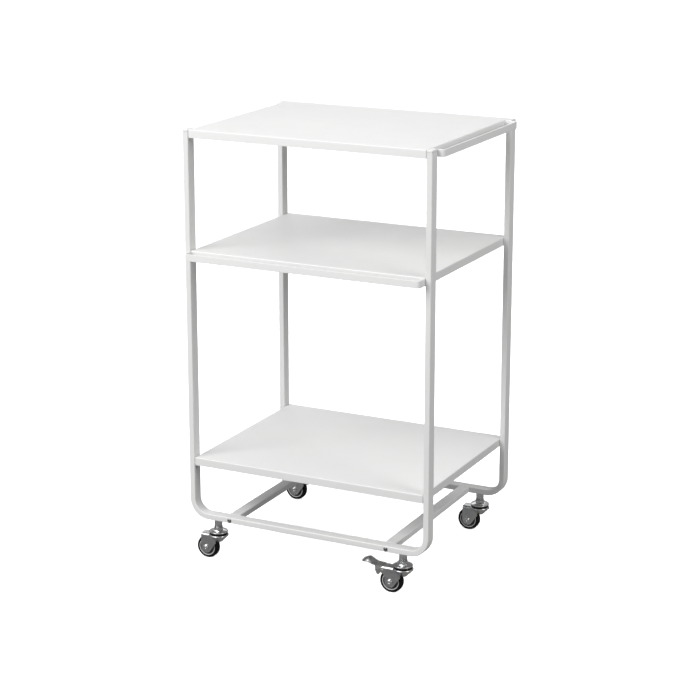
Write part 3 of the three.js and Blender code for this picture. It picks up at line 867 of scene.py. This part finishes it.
def fork_side(braked):
    """The fork's outline from the side: a straight back, a round foot and a sloping front."""
    centre_x, centre_z, foot = -WHEEL["trail"], WHEEL["r"], FORK["foot"]
    front, over = FORK["front"], FORK["top"] + 2
    plate = EAR["plate"] if braked else FORK["back"]
    outline = [(front, over), (plate, over)]
    if braked:
        back = EAR["back"]
        outline += filleted([
            (plate, EAR["top"], 0), (back, EAR["top"], 1.5), (back, EAR["bottom"], 2.5),
            (FORK["back"], EAR["bottom"] - 5, 3), (FORK["back"], centre_z + 1, 0),
        ], closed=False)
    steps = 24
    for k in range(steps + 1):
        turn = math.pi + 3 * math.pi / 4 * k / steps
        outline.append((centre_x + foot * math.cos(turn), centre_z + foot * math.sin(turn)))
    slope = [outline[-1] + (0,), (front, FORK["chamfer"], 4), (front, FORK["top"], 0)]
    outline += filleted(slope, closed=False)[1:-1]
    return across_y(outline, -THROUGH, THROUGH)


def fork(braked):
    """A caster fork pressed from one sheet: a disc with a bowl under it, and two legs."""
    disc, rim, top, sheet = FORK["disc"], BOWL["rim"], FORK["top"], FORK["sheet"]
    low, low_r, gap = BOWL["low"], BOWL["r"], FORK["half"] - sheet
    dish = lathe([
        (0, low, 0), (low_r, low, 3), (disc - 1.2, rim, 1.5), (disc, rim + 1, 0.4), (disc, top, 2.0),
        (disc - 4, top, 0), (0, top, 0),
    ], 72)
    dish = combined(dish, on_axle(rod(BOWL["wheel_room"], -gap, gap, 72)))
    legs = combined(fork_walls(0, braked), fork_side(braked), "INTERSECT")
    body = combined(dish, legs, "UNION")
    inside = disc - sheet - 1
    hollow = lathe([
        (0, low + sheet, 0), (low_r - 1, low + sheet, 2), (inside, rim + 1, 1), (inside, top - sheet, 1),
        (0, top - sheet, 0),
    ], 72)
    between = across_y([(-60, -5), (60, -5), (60, top), (-60, top)], -gap, gap)
    cutters = [combined(hollow, between, "INTERSECT"), fork_walls(sheet, braked)]
    cutters.append(rod(STEM["bore"], top - 5, top + 5, 32))
    cutters.append(on_axle(rod(AXLE["r"] + SLIP, -THROUGH, THROUGH, 32)))
    if braked:
        cutters.append(on_pivot(rod(PIN["r"] + SLIP, -THROUGH, THROUGH)))
    for cutter in cutters:
        body = combined(body, cutter)
    return body


def tyre():
    """A tyre with a flat tread, rounded shoulders and a step down to the hub."""
    half, r, rim = WHEEL["width"] / 2, WHEEL["r"], WHEEL["rim"]
    step, wall, shoulder, tread = rim + 1.2, rim + 1.7, r - 1.2, half - 3.0
    face = half - 0.35
    side = [(r, tread, 2.6), (shoulder, half, 1.6), (wall, half, 0.4), (step, face, 0.3), (rim, face, 0.3)]
    return on_axle(lathe(mirrored(side), 96, ring=True))


def wheel_hub():
    """A moulded hub: a rim, a thin web with low ribs, and a boss with a raised collar at its bore."""
    half, outer, bore = WHEEL["width"] / 2, WHEEL["rim"] - HUB["slack"], WHEEL["bore"]
    lip, boss, web = outer - HUB["lip"], HUB["boss"], HUB["web"]
    collar, face, rim = half + HUB["collar"], half + HUB["boss_out"], half - HUB["lip_in"]
    side = [
        (bore, collar, 0.15), (bore + 1.0, collar, 0.1), (bore + 1.1, face, 0.1), (boss, face, 0.5),
        (boss + 0.5, web, 0.8), (lip - 0.6, web, 0.8), (lip, rim, 0.3), (outer, rim, 0.3),
    ]
    body = lathe(mirrored(side), 96, ring=True, steps=4)
    ribs = []
    for i in range(RIB["count"]):
        for side in (-1, 1):
            low, high = sorted((side * RIB["in"], side * RIB["out"]))
            section = rounded_rect(lip - boss + RIB["bite"], RIB["thick"], 0.3, steps=2)
            rib = prism(section, low, high, soften=0.25)
            turn = Matrix.Rotation(2 * math.pi * i / RIB["count"], 4, "Z")
            ribs.append(moved(shifted(rib, (lip + boss) / 2, 0, 0), turn))
    return on_axle(together(body, *ribs))


def painted_highlight_rings():
    """White beads on the hub's rim, one on each side: painted highlight, their white standing in for the
    bright ring of light on the rim.
    """
    rings = []
    for side in (-1, 1):
        seat, face = side * HIGHLIGHT_RING["seat"], side * HIGHLIGHT_RING["face"]
        near, far = HIGHLIGHT_RING["in"], HIGHLIGHT_RING["out"]
        corners = [(near, seat, 0.2), (far, seat, 0.2), (far, face, 0.7), (near + 0.5, face, 0.5)]
        rings.append(lathe(corners, 96, ring=True, steps=4))
    return on_axle(together(*rings))


def axle_bolt():
    """A domed socket bolt through the fork, with its thread shown past the far leg."""
    half, r, rise, pitch = FORK["half"], AXLE["r"], AXLE["rise"], AXLE["pitch"]
    seat, crown, end = -half - AXLE["gap"], -half - rise, half + AXLE["past"]
    corners = [
        (0, crown, 0), (AXLE["crown"], crown, 1.2), (AXLE["head"], -half - rise / 2, 0.8),
        (AXLE["head"] + 0.1, seat, 0.2), (r, seat, 0), (r, half + AXLE["gap"], 0),
    ]
    for k in range(AXLE["threads"]):
        crest = half + 0.6 + pitch * k
        corners += [(r - AXLE["groove"], crest - pitch / 2, 0), (r, crest, 0)]
    corners += [(r - 0.5, end, 0.2), (0, end, 0)]
    socket = prism(hexagon(BOLT["socket"]), crown - 1.8, -half - AXLE["socket_floor"])
    return on_axle(combined(lathe(corners, 40), socket))


def axle_nut():
    low = FORK["half"] + AXLE_NUT["gap"]
    high = low + AXLE_NUT["thick"]
    return on_axle(hexagonal(AXLE_NUT["flats"], AXLE["r"] + SLIP, low, high, AXLE_NUT["chamfer"]))


def brake_pin():
    """A pin with a rivet head at each end."""
    end, r, face, head = FORK["half"] + PIN["past"], PIN["r"], PIN["r"] + 0.6, PIN["r"] + PIN["head"]
    top = [(r, end - PIN["thick"], 0), (head, end - 0.6, 0.1), (face, end, 0.5), (0, end, 0)]
    return on_pivot(lathe(mirrored(top), 24, steps=3))


def ease(value):
    value = min(max(value, 0.0), 1.0)
    return value * value * (3 - 2 * value)


def leaf_height(x, across):
    """The leaf's top: a flat step, then a dome that falls to the tip and to both sides."""
    step, hump, tip = PEDAL["step"], PEDAL["hump"], PEDAL["tip"]
    step_end, hump_x, tip_x = PEDAL["step_end"], PEDAL["hump_x"], PEDAL["tip_x"]
    base, rise = step, 0.0
    if x <= step_end:
        base = step + (tip - step) * (step_end - x) / (step_end - tip_x)
        if x > hump_x:
            crest = hump - (hump - step) * ease((x - hump_x) / (step_end - hump_x))
        else:
            fall = (hump_x - x) / (hump_x - tip_x)
            crest = hump - (hump - tip) * (DOME["flat"] * fall + DOME["steep"] * fall * fall)
        rise = max(crest - base, 0.0)
    return base + rise * (1 - DOME["across"] * across ** 2) - DOME["droop"] * abs(across) ** 3


def leaf_half_width(x):
    neck, widest, half = PEDAL["neck"], PEDAL["widest"], PEDAL["half"]
    if x > widest:
        return neck + (half - neck) * ease((PEDAL["back"] - x) / (PEDAL["back"] - widest))
    reach = (widest - x) / (widest - PEDAL["tip_x"])
    return half * math.sqrt(max(1 - reach ** 3, DOME["blunt"]))


def leaf_relief(x, across):
    """Ribs on the step, and a raised leaf with a vein on the hump."""
    off = abs(across)
    inside = ease((x - STEP_RIBS["tip_end"]) / 1.5) * ease(STEP_RIBS["back_end"] - x)
    inside *= ease((STEP_RIBS["side"] - off) / 0.1)
    relief = STEP_RIBS["height"] * inside * (0.5 + 0.5 * math.cos(across * STEP_RIBS["count"] * math.pi))
    along = (LEAF["start"] - x) / LEAF["length"]
    if 0 < along < 1:
        edge = LEAF["half"] * math.sqrt(math.sin(math.pi * along))
        relief += LEAF["height"] * ease((edge - off) / 0.16)
        relief -= LEAF["vein_deep"] * ease((LEAF["vein"] - off) / 0.08)
    return relief


def pedal_leaf():
    """The foot leaf of pressed sheet."""
    along, rows = 56, 20
    shape = bmesh.new()
    grids = []
    for drop in (0.0, PEDAL["thick"]):
        grid = []
        for i in range(along + 1):
            x = PEDAL["back"] + (PEDAL["tip_x"] - PEDAL["back"]) * i / along
            half = leaf_half_width(x) - PEDAL["inside"]
            row = []
            for j in range(rows + 1):
                across = 2 * j / rows - 1
                relief = leaf_relief(x, across) if drop == 0 else 0
                row.append(shape.verts.new((x, across * half, leaf_height(x, across) + relief - drop)))
            grid.append(row)
        grids.append(grid)
    top, under = grids
    for i in range(along):
        for j in range(rows):
            shape.faces.new((top[i][j], top[i + 1][j], top[i + 1][j + 1], top[i][j + 1]))
            shape.faces.new((under[i][j], under[i][j + 1], under[i + 1][j + 1], under[i + 1][j]))
        for j in (0, rows):
            shape.faces.new((top[i][j], top[i + 1][j], under[i + 1][j], under[i][j]))
    for i in (0, along):
        for j in range(rows):
            shape.faces.new((top[i][j], top[i][j + 1], under[i][j + 1], under[i][j]))
    bmesh.ops.recalc_face_normals(shape, faces=shape.faces)
    return shape


def brake_pedal():
    """The leaf on two cheeks that turn on the pin, with a brake shoe between them."""
    cheek_outline = filleted([
        (-48, 46.6, 0), (-48, 36.5, 1.5), (-44.5, 29.4, 0.8), (-41, 29.4, 0.8), (-36.5, 35.2, 2.0),
        (-33.6, 34.3, 2.5), (-30.6, 38.5, 2.5), (-33.8, 42.2, 2.5), (-35.8, 46.6, 0),
    ])
    pin_hole = on_pivot(rod(PIN["r"] + 0.1, -THROUGH, THROUGH))
    shapes = [pedal_leaf()]
    for side in (-1, 1):
        low, high = sorted((side * PEDAL["cheek_in"], side * PEDAL["cheek_out"]))
        shapes.append(combined(across_y(cheek_outline, low, high, 0.2), pin_hole))
    tip, back, low, high = SHOE["tip"], SHOE["back"], SHOE["low"], SHOE["high"]
    shoe = filleted([(tip, low, 0.6), (back, low, 0.6), (back, high, 0.4), (tip, high, 0.4)], steps=3)
    reach = PEDAL["cheek_in"] + SHOE["past"]
    shapes.append(across_y(shoe, -reach, reach))
    return together(*shapes)


def place_casters():
    for corner in CORNERS:
        braked = corner in BRAKED
        axis = middle_of(f"{corner}_stem")
        place = (axis.x, axis.y, 0)
        replace_node(f"{corner}_stem", stem(), place)
        nut = hexagonal(NUT["flats"], STEM["bore"], NUT["low"], NUT["high"], NUT["chamfer"])
        replace_node(f"{corner}_stem_nut", nut, place, soften=0.15)
        replace_node(f"{corner}_race_cap", race_cap(), place)
        replace_node(f"{corner}_race_balls", race_balls(), place)
        replace_node(f"{corner}_fork", fork(braked), place, soften=0.3)
        replace_node(f"{corner}_axle_bolt", axle_bolt(), place, sharp=50)
        replace_node(f"{corner}_axle_nut", axle_nut(), place, soften=0.12)
        replace_node(f"{corner}_wheel_hub", wheel_hub(), place)
        replace_node(f"{corner}_tyre", tyre(), place)
        # White rings on each hub: a painted highlight on the hub's rim.
        add_piece(f"{corner}_painted_highlight_rings", painted_highlight_rings(), place, f"{corner}_wheel", "white_plastic")
        # A black ring under each race cap: painted shade in the groove there.
        add_piece(f"{corner}_painted_shade_band", painted_shade_band(), place, "frame", "tyre_rubber")
        if braked:
            replace_node(f"{corner}_brake_pin", brake_pin(), place)
            replace_node(f"{corner}_brake_pedal", brake_pedal(), place, soften=0.15)


# ---------------- the stage
def floor_material():
    colour = (0.8, 2, (0.86, 0.86, 0.86), (0.87, 0.87, 0.87))
    material, _, shader, _ = plain_finish("pale_floor", colour, (3, 2, 0.85, 0.95))
    shader.inputs["Specular IOR Level"].default_value = 0.1
    return material


def place_floor():
    """A pale floor that only the camera sees: the world stands for the light it would throw back."""
    thick, radius = FLOOR["thick"], FLOOR["radius"]
    shape = turned([(0, -thick), (radius, -thick), (radius, 0), (0, 0)], 96)
    mesh = bpy.data.meshes.new("floor")
    shape.to_mesh(mesh)
    mesh.materials.append(floor_material())
    floor = bpy.data.objects.new("floor", mesh)
    floor.visible_diffuse = False
    floor.visible_glossy = False
    bpy.context.collection.objects.link(floor)
    return floor


def add_softbox(name, place, side, power):
    """A square light that faces the trolley's middle."""
    light = bpy.data.lights.new(name, "AREA")
    light.size = side
    light.energy = power
    holder = bpy.data.objects.new(name, light)
    holder.location = place
    aim = (cad_low + cad_high) / 2 - Vector(place)
    holder.rotation_euler = aim.to_track_quat("-Z", "Y").to_euler()
    bpy.context.collection.objects.link(holder)


def add_floor_sun(floor):
    """Light that falls on the floor alone and makes it an even white."""
    light = bpy.data.lights.new("floor_sun", "SUN")
    light.energy = FLOOR["sun"]
    light.angle = math.radians(FLOOR["sun_angle"])
    holder = bpy.data.objects.new("floor_sun", light)
    bpy.context.collection.objects.link(holder)
    lit = bpy.data.collections.new("floor_only")
    lit.objects.link(floor)
    holder.light_linking.receiver_collection = lit
    holder.light_linking.blocker_collection = lit


def place_lights(floor):
    for name, place, side, power in SOFTBOXES:
        add_softbox(name, place, side, power)
    add_floor_sun(floor)
    place_world()


def place_world():
    """A studio a little brighter on the left, dimmer below the horizon, and plain white to the camera."""
    world = bpy.data.worlds.new("studio")
    world.use_nodes = True
    tree = world.node_tree
    background = tree.nodes["Background"]
    direction = tree.nodes.new("ShaderNodeTexCoord").outputs["Generated"]
    parts = tree.nodes.new("ShaderNodeSeparateXYZ")
    tree.links.new(direction, parts.inputs["Vector"])
    facing = tree.nodes.new("ShaderNodeVectorMath")
    facing.operation = "DOT_PRODUCT"
    facing.inputs[1].default_value = STUDIO["bright_side"]
    tree.links.new(direction, facing.inputs[0])
    walls = spread(tree, facing.outputs["Value"], STUDIO["dark"], STUDIO["bright"], -0.5, 1.0)
    above = spread(tree, parts.outputs["Z"], 0.0, 1.0, -0.03, 0.03)
    light = blend_values(tree, above, STUDIO["below"], walls)
    seen = tree.nodes.new("ShaderNodeLightPath").outputs["Is Camera Ray"]
    tree.links.new(blend_values(tree, seen, light, 1.0), background.inputs["Strength"])
    background.inputs["Color"].default_value = (1, 1, 1, 1)
    bpy.context.scene.world = world


def place_camera():
    """The camera stands off the trolley's front right and looks a little down at it."""
    azimuth, elevation = CAMERA["azimuth"], CAMERA["elevation"]
    target = (cad_low + cad_high) / 2 + Vector(CAMERA["aim"])
    level = math.cos(elevation)
    back = Vector((math.sin(azimuth) * level, -math.cos(azimuth) * level, math.sin(elevation)))
    data = bpy.data.cameras.new("camera")
    data.lens = CAMERA["lens"]
    data.shift_y = CAMERA["shift"]
    data.clip_end = CAMERA["reach"]
    camera = bpy.data.objects.new("camera", data)
    camera.location = target + back * CAMERA["distance"]
    camera.rotation_euler = (-back).to_track_quat("-Z", "Y").to_euler()
    bpy.context.collection.objects.link(camera)
    bpy.context.scene.camera = camera


place_frames()
place_caps()
place_crossbars()
place_crossbar_bolts()
place_shelves()
place_rails()
place_casters()
place_lights(place_floor())
place_camera()
bpy.context.scene.view_settings.view_transform = "Standard"

bpy.context.view_layer.update()
